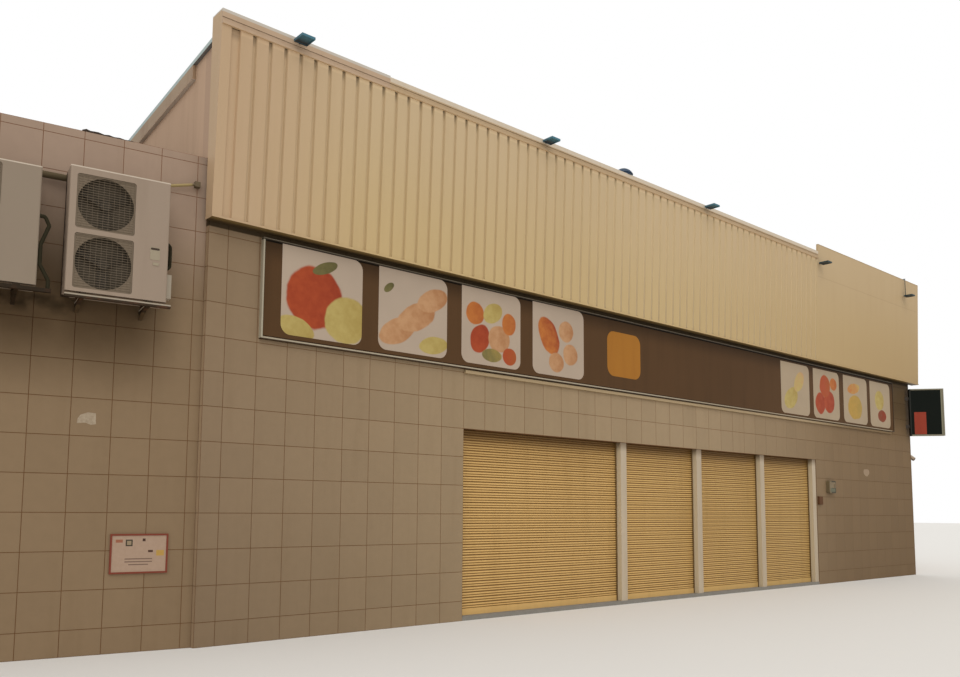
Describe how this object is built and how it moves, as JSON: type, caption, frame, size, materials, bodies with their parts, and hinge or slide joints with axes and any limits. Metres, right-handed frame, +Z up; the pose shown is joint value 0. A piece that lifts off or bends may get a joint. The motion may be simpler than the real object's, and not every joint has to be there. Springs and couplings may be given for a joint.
{
  "type": "supermarket building",
  "caption": "Single-storey supermarket hall with tiled front, roller shutters, ribbed metal fascia over a long sign board, and a low side wing.",
  "frame": {"origin": "on the ground, under the middle of the hall's floor", "axes": "+X along the front to the right, +Y from the front to the back, +Z up"},
  "size_m": [23.9723, 14.8713, 7.398],
  "materials": {
    "tiled_wall": "matt",
    "rendered_wall": "matt",
    "concrete": "matt",
    "roof_sheet_paint": "satin",
    "fascia_paint": "satin",
    "sign_face": "satin",
    "sign_aluminium": "satin",
    "post_paint": "satin",
    "shutter_paint": "satin",
    "gutter_metal": "satin",
    "unit_paint": "satin",
    "lamp_paint": "satin",
    "box_face": "gloss",
    "alarm_red": "gloss",
    "beacon_lens": "gloss",
    "pipe_lagging": "matt",
    "box_white": "satin",
    "roof_felt": "matt"
  },
  "bodies": {
    "root": {"air_unit_1": "unit_paint", "air_unit_2": "unit_paint", "air_unit_brackets": "unit_paint", "air_unit_conduit": "post_paint", "air_unit_fans": "lamp_paint", "air_unit_guards": "unit_paint", "air_unit_pipes": "pipe_lagging", "alarm_box": "alarm_red", "back_gutter": "gutter_metal", "back_wall": "rendered_wall", "beacon": "beacon_lens", "blade_sign": "box_face", "blade_sign_arms": "gutter_metal", "blade_sign_frame": "sign_aluminium", "downpipes": "gutter_metal", "fascia_back_sheet": "fascia_paint", "fascia_cap_left": "fascia_paint", "fascia_cap_plain": "fascia_paint", "fascia_cap_right": "fascia_paint", "fascia_end_left": "fascia_paint", "fascia_end_right": "fascia_paint", "fascia_plain": "fascia_paint", "fascia_rails": "gutter_metal", "fascia_ribbed": "fascia_paint", "fascia_soffit": "fascia_paint", "floodlights": "lamp_paint", "floor_slab": "concrete", "front_wall_left": "tiled_wall", "front_wall_right": "tiled_wall", "front_wall_upper": "tiled_wall", "notice_board": "box_white", "roof_sheet": "roof_sheet_paint", "shutter_1": "shutter_paint", "shutter_2": "shutter_paint", "shutter_3": "shutter_paint", "shutter_4": "shutter_paint", "shutter_guides": "shutter_paint", "shutter_posts": "post_paint", "side_wall_left": "rendered_wall", "side_wall_right": "rendered_wall", "sign_board": "sign_face", "sign_frame": "sign_aluminium", "sign_ledge": "fascia_paint", "verge_boards": "fascia_paint", "wall_box": "box_white", "wall_camera": "box_white", "wing_back_wall": "tiled_wall", "wing_end_wall": "tiled_wall", "wing_floor": "concrete", "wing_front_wall": "tiled_wall", "wing_roof": "roof_felt"}
  },
  "joints": []
}
